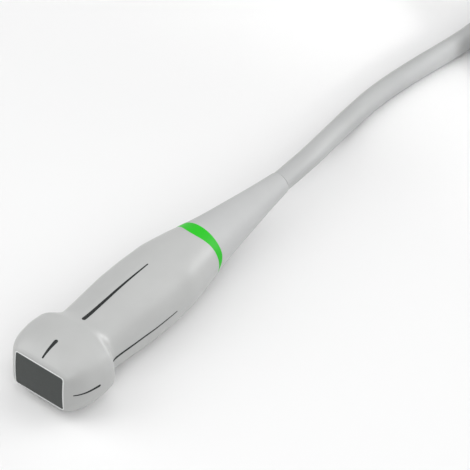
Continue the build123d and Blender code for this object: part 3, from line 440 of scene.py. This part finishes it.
def moulded(name, light, dark, rough=(0.38, 0.5), grain=0.385, height=0.02, blotch=16.7, specular=0.5,
            metallic=0.0, stretch=(1, 1, 1)):
    """Moulded or cast surface: two close tones in soft blotches, fine grain in the finish and relief.

    The widths of the grain and of the blotches, and the grain's height, are in millimetres. A real
    grain is about a tenth of a millimetre wide. It is drawn coarser here, so that it shows.
    """
    material, tree, shader, place = start_material(name)
    stretched = node(tree, "ShaderNodeMapping", {"Vector": place, "Scale": stretch})
    cloud = node(tree, "ShaderNodeTexNoise", {
        "Vector": stretched.outputs[0], "Scale": MM_PER_M / blotch, "Detail": 3.0, "Roughness": 0.55})
    fine = node(tree, "ShaderNodeTexNoise", {
        "Vector": stretched.outputs[0], "Scale": MM_PER_M / grain, "Detail": 2.0, "Roughness": 0.6})
    share = node(tree, "ShaderNodeMapRange", {
        "Value": cloud.outputs["Fac"], "From Min": 0.35, "From Max": 0.65, "To Min": 0.0, "To Max": 1.0})
    colour = node(tree, "ShaderNodeMix", {
        "Factor": share.outputs[0], "A": linear(light), "B": linear(dark)}, data_type="RGBA")
    finish = node(tree, "ShaderNodeMapRange", {
        "Value": fine.outputs["Fac"], "From Min": 0.3, "From Max": 0.7,
        "To Min": rough[0], "To Max": rough[1]})
    relief = node(tree, "ShaderNodeBump", {
        "Height": fine.outputs["Fac"], "Strength": 0.35, "Distance": height / MM_PER_M})
    tree.links.new(colour.outputs["Result"], shader.inputs["Base Color"])
    tree.links.new(finish.outputs[0], shader.inputs["Roughness"])
    tree.links.new(relief.outputs[0], shader.inputs["Normal"])
    shader.inputs["Specular IOR Level"].default_value = specular
    shader.inputs["Metallic"].default_value = metallic
    return material


def brushed(name, light, dark, rough=(0.28, 0.42), stretch=(1, 1, 30)):
    """Machined or drawn metal: tone, finish and relief run in fine lines one way.

    The grain is 30 times finer along Z, so that the lines run level, unless it isn't stretched.
    """
    return moulded(
        name, light, dark, rough=rough, grain=0.556, height=0.008, blotch=4.17,
        metallic=1.0, stretch=stretch,
    )


def woven(name, light, dark):
    """Hook and loop strap: rows of small loops in two directions, fuzzy at grazing angles, with painted
    shade darker where the loops' relief is low.

    Rows across the strap lie 0.952 mm apart along Y, and diagonal ones 2.167 mm apart along each
    axis. At scale 1 these patterns repeat every pi / 10 and pi / 5 metres.
    """
    material, tree, shader, place = start_material(name)
    row_scale = math.pi / 10 * MM_PER_M / 0.952
    diagonal_scale = math.pi / 5 * MM_PER_M / 2.167
    rows = node(tree, "ShaderNodeTexWave", {
        "Vector": place, "Scale": row_scale, "Distortion": 1.4, "Detail": 1.0, "Detail Scale": 3.0},
        bands_direction="Y")
    diagonals = node(tree, "ShaderNodeTexWave", {
        "Vector": place, "Scale": diagonal_scale, "Distortion": 2.2, "Detail": 1.0, "Detail Scale": 3.0},
        bands_direction="DIAGONAL")
    loops = node(tree, "ShaderNodeMath", {0: rows.outputs["Fac"], 1: diagonals.outputs["Fac"]},
                 operation="MULTIPLY")
    # Painted shade: the colour follows the loops' relief, darker in the hollows between them
    colour = node(tree, "ShaderNodeMix", {
        "Factor": loops.outputs[0], "A": linear(dark), "B": linear(light)}, data_type="RGBA")
    relief = node(tree, "ShaderNodeBump", {
        "Height": loops.outputs[0], "Strength": 0.7, "Distance": 0.2 / MM_PER_M})
    tree.links.new(colour.outputs["Result"], shader.inputs["Base Color"])
    tree.links.new(relief.outputs[0], shader.inputs["Normal"])
    shader.inputs["Roughness"].default_value = 0.85
    shader.inputs["Sheen Weight"].default_value = 0.4
    return material


# Satin light-grey housing plastic, a polycarbonate blend with a fine spark-eroded grain
housing_plastic = moulded("housing_plastic", "B7B8B7", "B3B4B3", rough=(0.34, 0.42))
# The same plastic on the window's rim, smoother, and coloured far lighter as a painted highlight along the
# lip
rim_painted_highlight = moulded("rim_painted_highlight", "E6E8E7", "E2E4E3", rough=(0.2, 0.28), height=0.01)
# Softer thermoplastic elastomer of the strain relief, a little duller than the housing
relief_elastomer = moulded("relief_elastomer", "BABBBB", "B6B7B7", rough=(0.5, 0.62), height=0.03)
# Cable jacket, extruded polyurethane with a smooth satin skin
cable_jacket = moulded("cable_jacket", "B2B3B3", "AEAFAF", rough=(0.42, 0.52), grain=0.667, blotch=22.2)
# Strokes moulded in a second shot of near-black plastic, satin
dark_inlay = moulded("dark_inlay", "1E2020", "181A1A", rough=(0.42, 0.52), specular=0.22)
# Band moulded in a second shot of green plastic, satin
green_plastic = moulded("green_plastic", "17BA0C", "14B20A", rough=(0.44, 0.54), specular=0.3)
# Lens, cast silicone rubber filled dark grey, dull and even
lens_silicone = moulded("lens_silicone", "454847", "404342", rough=(0.5, 0.6), specular=0.3, height=0.01)
# Hook and loop strap, dark nylon, with no gloss at all, and painted shade in the hollows between its loops
tie_strap = woven("tie_strap", "3A3C40", "121316")

# The material of each slot that the part's record names
SLOT_MATERIALS = {
    "lens_rubber": lens_silicone,
    # Epoxy loaded with powder, a dull brown grey
    "matching_layer": moulded("matching_epoxy", "77736A", "6C685F"),
    # Rolled copper, with fine lines one way
    "foil": brushed("copper_foil", "D69A6E", "C58556"),
    # Sintered ceramic, sand-coloured and matt
    "ceramic": moulded("piezo_ceramic", "B5AC95", "A69D86", rough=(0.6, 0.75)),
    # Polyimide film, amber and glossy
    "flex_film": moulded("polyimide_film", "B87A2C", "A86B22", rough=(0.2, 0.3), blotch=3.33),
    # Rubber filled with heavy powder, nearly black and matt
    "backing": moulded("filled_rubber", "3A3A3A", "2E2E2E", rough=(0.7, 0.85)),
    # Milled aluminium, with the cutter's lines
    "machined_metal": brushed("machined_aluminium", "C9CBCD", "B4B6B9"),
    # Turned stainless steel
    "screw_steel": brushed("screw_steel", "B9B9B7", "9C9C9A"),
    "body_plastic": housing_plastic,
    "dark_inlay": dark_inlay,
    "green_plastic": green_plastic,
    "relief_rubber": relief_elastomer,
    # Glass cloth laminate under green solder resist, fairly glossy
    "board_laminate": moulded("board_laminate", "2F6B45", "255A39", rough=(0.3, 0.45), blotch=2.0),
    # Sockets, black liquid-crystal polymer
    "socket_plastic": moulded("socket_plastic", "3C3C3C", "303030"),
    # Tin-plated steel sheet, bright with rolling lines
    "shield_metal": brushed("tinned_sheet", "CFCFCB", "B9B9B5"),
    # Bundle of fine coaxial wires in blue insulation, its tones drawn out in lines along it
    "wire_film": moulded("coaxial_wires", "5F7FAF", "3F5F95", stretch=(20, 1, 1), blotch=5.0),
    # Nickel-plated brass, crimped
    "ferrule_metal": brushed("plated_brass", "C9C3A8", "B2AC92"),
    "cable_jacket": cable_jacket,
    "tie_strap": tie_strap,
    # Shroud, die-cast aluminium with a matt conversion coat
    "connector_metal": moulded(
        "cast_metal", "B9BBBD", "A8AAAD", rough=(0.42, 0.6), grain=1.11, height=0.05, metallic=0.9),
    # Connector housings, light-grey plastic with a coarser moulded texture
    "connector_plastic": moulded(
        "connector_plastic", "BBBCBB", "B5B6B5", rough=(0.48, 0.62), grain=0.77, height=0.07),
    # Contact block, glass-filled black thermoplastic, matt
    "insulator": moulded("glass_filled_insulator", "37383A", "2B2C2E", rough=(0.5, 0.65), grain=0.833),
    # Hard gold plate on the contacts
    "gold_contact": brushed("gold_plate", "EBC878", "D8B25E", rough=(0.18, 0.3), stretch=(1, 1, 1)),
    # Turned brass
    "brass_bush": brushed("turned_brass", "D9BC74", "C2A45C"),
    # Turned and ground steel
    "lock_steel": brushed("turned_steel", "BDBDBB", "A0A09E", stretch=(1, 1, 1)),
    # Lever, dark-grey nylon, satin
    "lever_plastic": moulded(
        "lever_nylon", "3D3F42", "33353A", rough=(0.45, 0.6), grain=0.625, height=0.04),
}


def dress_nodes():
    """Give every CAD node the material of its slot."""
    for entry in frame["record"]["subparts"]:
        mesh = frame["nodes"][entry["node"]].data
        mesh.materials.clear()
        mesh.materials.append(SLOT_MATERIALS[entry["material_slot"]])


dress_nodes()


# Probe

# Sections of the window's wall and of the bead round it: behind the face, outside the lens
WINDOW_SECTION = ((1.7, 0.0), (0.3, 0.0), (0.2, 0.3))
BEAD_SECTION = (
    (0.9, 0.0), (0.12, 0.0), (0.04, 0.03), (-0.02, 0.1), (-0.04, 0.2), (-0.02, 0.3),
    (0.03, 0.4), (0.11, 0.46), (0.22, 0.48), (0.5, 0.4), (0.9, 0.3),
)
# Rings of the lens's front as shares of its size, and of its rounded edge: inside, behind the face
LENS_SHARES = (0.002, 0.15, 0.3, 0.45, 0.6, 0.72, 0.83, 0.92, 0.97, 0.99)
LENS_EDGE = ((0.03, 0.02), (0.01, 0.07), (0.0, 0.16), (0.0, LENS_THICKNESS))
# The handle's inner wall keeps so far from its ends
INNER_WALL_INSET = 4
INNER_WALL_RINGS = 8


def bowed(back, z):
    """Place along the probe of a point of the front, which is bowed a little over its height.

    y = face + back + bow (z / half height)^2 (1 - back / bow depth), and past the bow's depth
    y = face + back.
    """
    return FACE_Y + back + FRONT_BOW * (z / FACE_HALVES[1]) ** 2 * np.maximum(1 - back / BOW_DEPTH, 0)


def window_ring(back, grow, angles):
    """Ring of the lens's outline, so far behind the bowed face and so far outside the lens."""
    x, z = rounded_ring(
        LENS_HALF_WIDTH + grow, LENS_HALF_HEIGHT + grow, LENS_CORNER + grow, angles)
    return bowed(back, z), x, z


def make_nose():
    """Muzzle: window wall, flaring skin to the joint, and back inside to the window.

    Its section is the skin's superellipse, whose sizes follow the stations' smooth curve.
    """
    angles = angles_round()
    rings = [window_ring(back, grow, angles) for back, grow in WINDOW_SECTION]
    for y, half_width, half_height, squareness in skin_rows(FACE_Y, JOINT_Y, NOSE_ROW_STEP):
        x, z = ring(half_width, half_height, squareness, angles)
        rings.append((bowed(y - FACE_Y, z), x, z))
    rings.append(skin_ring(JOINT_Y, angles))
    rings.append(skin_ring(JOINT_Y, angles, SHELL_WALL))
    rings.append(skin_ring(FACE_Y + MUZZLE_DEPTH, angles, SHELL_WALL))
    x, z = rounded_ring(LENS_HALF_WIDTH, LENS_HALF_HEIGHT, LENS_CORNER, angles)
    rings.append((FACE_Y + FRONT_WALL, x, z))
    nose = loop_piece("nose", rings, housing_plastic)
    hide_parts("nose_shell")


def make_rim():
    """Smooth lip round the window, coloured light as a painted highlight: a bead of rounded section laid
    along its edge.
    """
    angles = angles_round()
    rings = [window_ring(back, grow, angles) for back, grow in BEAD_SECTION]
    loop_piece("rim", rings, rim_painted_highlight, sharp=60)


def make_handle():
    """Handle skin from the joint to the tail, closed by its inner wall.

    Its section is the skin's superellipse, and a circle at the tail.
    """
    angles = angles_round()
    rings = [skin_ring(JOINT_Y, angles, SHELL_WALL), skin_ring(JOINT_Y, angles)]
    for y, half_width, half_height, squareness in skin_rows(JOINT_Y, TAIL_Y, HANDLE_ROW_STEP):
        rings.append((y, *ring(half_width, half_height, squareness, angles)))
    for radius in (TAIL_RADIUS, TAIL_RADIUS - SHELL_WALL):
        rings.append((TAIL_Y, *ring(radius, radius, 2.0, angles)))
    for y in np.linspace(TAIL_Y - INNER_WALL_INSET, JOINT_Y + INNER_WALL_INSET, INNER_WALL_RINGS):
        rings.append(skin_ring(y, angles, SHELL_WALL))
    handle = loop_piece("handle", rings, housing_plastic)
    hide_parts("upper_handle_shell", "lower_handle_shell")


def make_lens():
    """Silicone lens: bowed like the front, with rounded edges that lie just inside the rim.

    Its front is rings of the window's outline, drawn in to a point, at the bowed face.
    """
    angles = angles_round()
    pole = LENS_SHARES[0]
    rings = []
    for share in LENS_SHARES:
        x, z = rounded_ring(LENS_HALF_WIDTH * share, LENS_HALF_HEIGHT * share, LENS_CORNER * share, angles)
        rings.append((bowed(0.0, z), x, z))
    for inset, back in LENS_EDGE:
        x, z = rounded_ring(LENS_HALF_WIDTH - inset, LENS_HALF_HEIGHT - inset, LENS_CORNER, angles)
        rings.append((bowed(back, z), x, z))
    x, z = rounded_ring(LENS_HALF_WIDTH * pole, LENS_HALF_HEIGHT * pole, pole, angles)
    rings.append((FACE_Y + LENS_THICKNESS, x, z))
    points = stack_rings(rings)
    faces = grid_faces(len(rings), RING_POINTS)
    last = (len(rings) - 1) * RING_POINTS
    caps = (range(RING_POINTS), range(last + RING_POINTS - 1, last - 1, -1))
    piece = add_piece("lens", points, faces, lens_silicone, caps=caps)
    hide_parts("acoustic_lens")


# Strokes: start and end behind the face, width at the start and at the end
NOSE_TOP_STROKE = (2.0, 10.1, 0.7, 1.5)
NOSE_SIDE_STROKE = (2.3, 12.6, 0.5, 1.1)
GRIP_TOP_STROKE = (23.5, 58.6, 1.5, 0.5)
GRIP_SIDE_STROKE = (23.0, 57.7, 1.1, 0.5)
STROKE_RISE = 0.04
STROKE_DEPTH = 0.4
STROKE_TIP = 0.004
STROKE_ROWS = 73
STROKE_COLUMNS = 13


def stroke(name, node_name, start, end, first, second, side):
    """Tapered stroke with round ends on the skin: on top (side 0) or on the right or left (1, -1).

    Its outline is the hull of a circle at each end. Its half width is the tangent line between
    the circles, closed by their arcs. At u from -1 to 1 across it, it stands proud of the skin
    by its rise times the root of 1 - 0.9 u^2.
    """
    r0, r1 = first / 2, second / 2
    c0, c1 = FACE_Y + start + r0, FACE_Y + end - r1
    turn = np.linspace(0, np.pi, STROKE_ROWS)
    y = (c0 - r0) + (c1 + r1 - c0 + r0) * (1 - np.cos(turn)) / 2
    tilt = (r1 - r0) / (c1 - c0)
    from_first = np.sqrt(np.maximum(r0**2 - (y - c0) ** 2, 0))
    from_second = np.sqrt(np.maximum(r1**2 - (y - c1) ** 2, 0))
    line = (r0 + (y - c0) * tilt) * math.sqrt(1 + tilt**2)
    along = (y > c0 - r0 * tilt) & (y < c1 - r1 * tilt)
    half = np.maximum(np.where(along, line, np.maximum(from_first, from_second)), STROKE_TIP)
    across = np.sin(np.linspace(-np.pi / 2, np.pi / 2, STROKE_COLUMNS))
    a, b, n = [size[:, None] for size in skin_sizes(y)]
    offset = half[:, None] * across[None, :]
    dome = STROKE_RISE * np.sqrt(1 - 0.9 * across**2)[None, :]
    ys = np.broadcast_to(y[:, None], offset.shape)
    if side == 0:
        height = b * (1 - np.abs(offset / a) ** n) ** (1 / n)
        top = np.stack([offset, ys, AXIS_Z + height + dome], axis=-1)
        bottom = top - np.array([0, 0, STROKE_DEPTH])
    else:
        reach = a * (1 - np.abs(offset / b) ** n) ** (1 / n)
        top = np.stack([side * (reach + dome), ys, AXIS_Z + offset], axis=-1)
        bottom = top - np.array([side * STROKE_DEPTH, 0, 0])
    piece = patch(name, top, bottom, dark_inlay)
    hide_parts(node_name)


# Band: half its sweep from the top in degrees, and the sizes of its edges before the tail's end
BAND_SWEEP = 102
BAND_SIDE_WIDTH = 2.95
BAND_TOP_EXTRA = 2.55
BAND_TOP_SPREAD = 0.62
FRONT_RUN = 0.55
FRONT_RUN_START = 1.3
FRONT_RUN_STRETCH = 0.48
REAR_RUN = 3.45
REAR_RUN_START = 0.9
REAR_RUN_STRETCH = 0.88
BAND_RISE = 0.05
BAND_DEPTH = 0.5
BAND_ROWS = 241
BAND_COLUMNS = 15


def make_band():
    """Green crescent on the tail: wide on top, thin at its tips low on the sides.

    At an angle phi from the top, in radians, its edges lie this far before the tail's end:
    front = side width + top extra exp(-(phi / spread)^2) + front run ((|phi| - start) / stretch)^2
    rear = rear run ((|phi| - start) / stretch)^3
    and a run is nothing before its start. At u from -1 to 1 across it, it stands proud of the
    skin by its rise times the root of 1 - 0.8 u^2.
    """
    phi = math.radians(BAND_SWEEP) * np.sin(np.linspace(-1, 1, BAND_ROWS) * np.pi / 2)
    size = np.abs(phi)
    widening = BAND_TOP_EXTRA * np.exp(-(phi / BAND_TOP_SPREAD) ** 2)
    front_run = FRONT_RUN * (np.maximum(size - FRONT_RUN_START, 0) / FRONT_RUN_STRETCH) ** 2
    front = TAIL_Y - BAND_SIDE_WIDTH - widening - front_run
    rear = TAIL_Y - REAR_RUN * (np.maximum(size - REAR_RUN_START, 0) / REAR_RUN_STRETCH) ** 3
    shares = np.sin(np.linspace(-np.pi / 2, np.pi / 2, BAND_COLUMNS)) / 2 + 0.5
    y = front[:, None] + (rear - front)[:, None] * shares[None, :]
    a, b, n = skin_sizes(y)
    dome = BAND_RISE * np.sqrt(1 - 0.8 * (2 * shares - 1) ** 2)[None, :]
    angle = np.broadcast_to((np.pi / 2 - phi)[:, None], y.shape)
    x, z = ring(a + dome, b + dome, n, angle)
    top = np.stack([x, y, AXIS_Z + z], axis=-1)
    x, z = ring(a - BAND_DEPTH, b - BAND_DEPTH, n, angle)
    bottom = np.stack([x, y, AXIS_Z + z], axis=-1)
    piece = patch("band", top, bottom, green_plastic)
    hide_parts("green_band")


# Strain relief: share of its length, share of its taper still to come, and at its ends the
# places behind the tail and behind the exit with their radii
RELIEF_END_RADIUS = 4.15
TAPER_ALONG = np.array([0.0, 0.21, 0.4, 0.6, 0.8, 1.0])
TAPER_LEFT = np.array([1.0, 0.73, 0.54, 0.345, 0.16, 0.0])
TAPER_RINGS = 90
RELIEF_ROOT = ((-1.5, 8.2), (-0.02, 8.2), (-0.02, 10.3), (0.05, 10.38))
RELIEF_LIP = ((-0.25, 4.15), (-0.08, 4.08), (0.0, 3.98), (-0.3, 3.9), (-3.0, 3.88))


def make_relief():
    """Strain relief: a tube turned round the axis whose radius runs down a smooth curve.

    radius = end radius + (tail radius - end radius) s, and s is a smooth curve from 1 to 0.
    """
    angles = np.linspace(0, 2 * np.pi, TUBE_POINTS, endpoint=False)
    along = np.linspace(0, 1, TAPER_RINGS)
    left = natural_spline(TAPER_ALONG, TAPER_LEFT[:, None], along)[:, 0]
    radius = RELIEF_END_RADIUS + (TAIL_RADIUS - RELIEF_END_RADIUS) * left
    profile = [(TAIL_Y + behind, r) for behind, r in RELIEF_ROOT]
    profile += [(TAIL_Y + (EXIT_Y - TAIL_Y) * s, r) for s, r in zip(along[1:-1], radius[1:-1])]
    profile += [(EXIT_Y + behind, r) for behind, r in RELIEF_LIP]
    rings = [(y, r * np.cos(angles), r * np.sin(angles)) for y, r in profile]
    piece = loop_piece("relief", rings, relief_elastomer)
    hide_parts("strain_relief")


make_nose()
make_rim()
make_handle()
make_lens()
for part, on_top, on_side in (
    ("nose", NOSE_TOP_STROKE, NOSE_SIDE_STROKE),
    ("grip", GRIP_TOP_STROKE, GRIP_SIDE_STROKE),
):
    for where, measures, side in (("top", on_top, 0), ("right", on_side, 1), ("left", on_side, -1)):
        stroke(f"{part}_stroke_{where}", f"{part}_{where}_inlay", *measures, side)
make_band()
make_relief()


# Hank ties, cable and connector

LEFT_TIE_Y = 254.0
RIGHT_TIE_Y = 238.0
TIE_WIDTH = 12.0
TIE_THICKNESS = 0.75
TIE_EDGE = 0.2
TIE_CORNER = 4.6
LAP_LENGTH = 9.0
LAP_INSET = 0.3
LAP_SUNK = 0.1
LAP_ROWS = 25
LAP_COLUMNS = 5


def make_tie(name, node_name, x, y):
    """Flat strap round the bundle: a rounded square of four strands, its free end lapped on top.

    At t from 0 to 1 along the lap it lies its thickness times sin(pi / 2 min(4 t, 1)) high.
    """
    angles = angles_round(TUBE_POINTS)
    inner = CABLE_RADIUS * 2
    outer = inner + TIE_THICKNESS
    section = (
        (0.0, inner, CABLE_RADIUS), (0.0, outer - TIE_EDGE, TIE_CORNER - TIE_EDGE),
        (TIE_EDGE, outer, TIE_CORNER), (TIE_WIDTH - TIE_EDGE, outer, TIE_CORNER),
        (TIE_WIDTH, outer - TIE_EDGE, TIE_CORNER - TIE_EDGE), (TIE_WIDTH, inner, CABLE_RADIUS),
    )
    rings = []
    for along, half, radius in section:
        ring_x, ring_z = rounded_ring(half, half, radius, angles)
        rings.append((y + along, x + ring_x, ring_z + HANK_LEVEL - AXIS_Z))
    loop = loop_piece(name, rings, tie_strap)
    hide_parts(node_name)
    turn = np.linspace(0, 1, LAP_ROWS)
    lap_x = x - LAP_LENGTH / 2 + LAP_LENGTH * turn
    lift = TIE_THICKNESS * np.sin(np.minimum(turn * 4, 1) * np.pi / 2)
    xs, shares = np.meshgrid(lap_x, np.linspace(0, 1, LAP_COLUMNS), indexing="ij")
    ys = y + LAP_INSET + (TIE_WIDTH - 2 * LAP_INSET) * shares
    zs = np.broadcast_to((HANK_LEVEL + outer + lift)[:, None], xs.shape)
    top = np.stack([xs, ys, zs], axis=-1)
    bottom = np.stack([xs, ys, np.full(xs.shape, HANK_LEVEL + outer - LAP_SUNK)], axis=-1)
    patch(name + "_end", top, bottom, tie_strap)


make_tie("tie_left", "left_tie", HANK_X - HANK_RADIUS, LEFT_TIE_Y)
make_tie("tie_right", "right_tie", HANK_X + HANK_RADIUS, RIGHT_TIE_Y)

cable.data.materials.append(cable_jacket)
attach(cable, "probe")
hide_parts("cable_run", "cable_hank", "cable_tail")


# Floor, light and background, in metres

FLOOR_HALF = 6
ROOM_LIGHT = 0.08
AIM_HEIGHT = 0.01
# Lamps: name, place, how far along the cable they point, width, height, watts, spread in degrees
LAMPS = (
    ("soft_box_above", (0.0, 0.1, 1.2), 0.0, 1.2, 1.2, 6.6, 180),
    ("soft_box_right", (0.75, 0.65, 0.75), 0.0, 1.0, 1.0, 4.2, 180),
    ("soft_box_left", (-0.75, -0.55, 0.75), 0.0, 1.0, 1.0, 7.2, 180),
    ("soft_box_front", (0.65, -0.7, 0.75), 0.0, 0.8, 0.8, 5.0, 180),
    ("strip_behind", (0.3, 1.0, 0.2), 0.0, 0.9, 0.2, 5.2, 180),
    ("gridded_box_cable", (0.26, 0.17, 0.13), 0.19, 0.12, 0.12, 0.022, 22),
)


def make_floor():
    """Plain pale floor of matt paper, much wider than the picture."""
    mesh = bpy.data.meshes.new("floor")
    corners = [(-1, -1), (1, -1), (1, 1), (-1, 1)]
    mesh.from_pydata([(x * FLOOR_HALF, y * FLOOR_HALF, 0) for x, y in corners], [], [(0, 1, 2, 3)])
    floor = add_object("floor", mesh)
    material, _, shader, _ = start_material("floor_paper")
    shader.inputs["Base Color"].default_value = linear("F2F2F2")
    shader.inputs["Roughness"].default_value = 0.9
    shader.inputs["Specular IOR Level"].default_value = 0.1
    mesh.materials.append(material)


def make_world():
    """A faint room that looks white to the camera, and in metal and glass."""
    world = bpy.data.worlds.new("world")
    world.use_nodes = True
    bpy.context.scene.world = world
    tree = world.node_tree
    background = tree.nodes["Background"]
    path = node(tree, "ShaderNodeLightPath", {})
    seen = node(tree, "ShaderNodeMath", {
        0: path.outputs["Is Camera Ray"], 1: path.outputs["Is Glossy Ray"]}, operation="MAXIMUM")
    seen = node(tree, "ShaderNodeMath", {
        0: seen.outputs[0], 1: path.outputs["Is Transmission Ray"]}, operation="MAXIMUM")
    strength = node(tree, "ShaderNodeMapRange", {
        "Value": seen.outputs[0], "To Min": ROOM_LIGHT, "To Max": 1.0})
    background.inputs["Color"].default_value = (1, 1, 1, 1)
    tree.links.new(strength.outputs[0], background.inputs["Strength"])


def make_lamps():
    """Soft boxes above and on three sides, and a low strip behind for the highlights.

    A small box with a grid lights the end of the cable that the hank would shade. Each lamp
    points at a place just above the floor and the cable's line.
    """
    for name, place, aim_y, width, height, watts, spread in LAMPS:
        data = bpy.data.lights.new(name, "AREA")
        data.shape = "RECTANGLE"
        data.size = width
        data.size_y = height
        data.energy = watts
        data.spread = math.radians(spread)
        lamp = add_object(name, data)
        lamp.location = place
        lamp.visible_camera = False
        back = np.array(place) - np.array([0, aim_y, AIM_HEIGHT])
        tilt = math.acos(back[2] / np.linalg.norm(back))
        lamp.rotation_euler = (tilt, 0, math.atan2(back[1], back[0]) + math.pi / 2)


make_floor()
make_world()
make_lamps()
bpy.context.scene.view_settings.view_transform = "Standard"
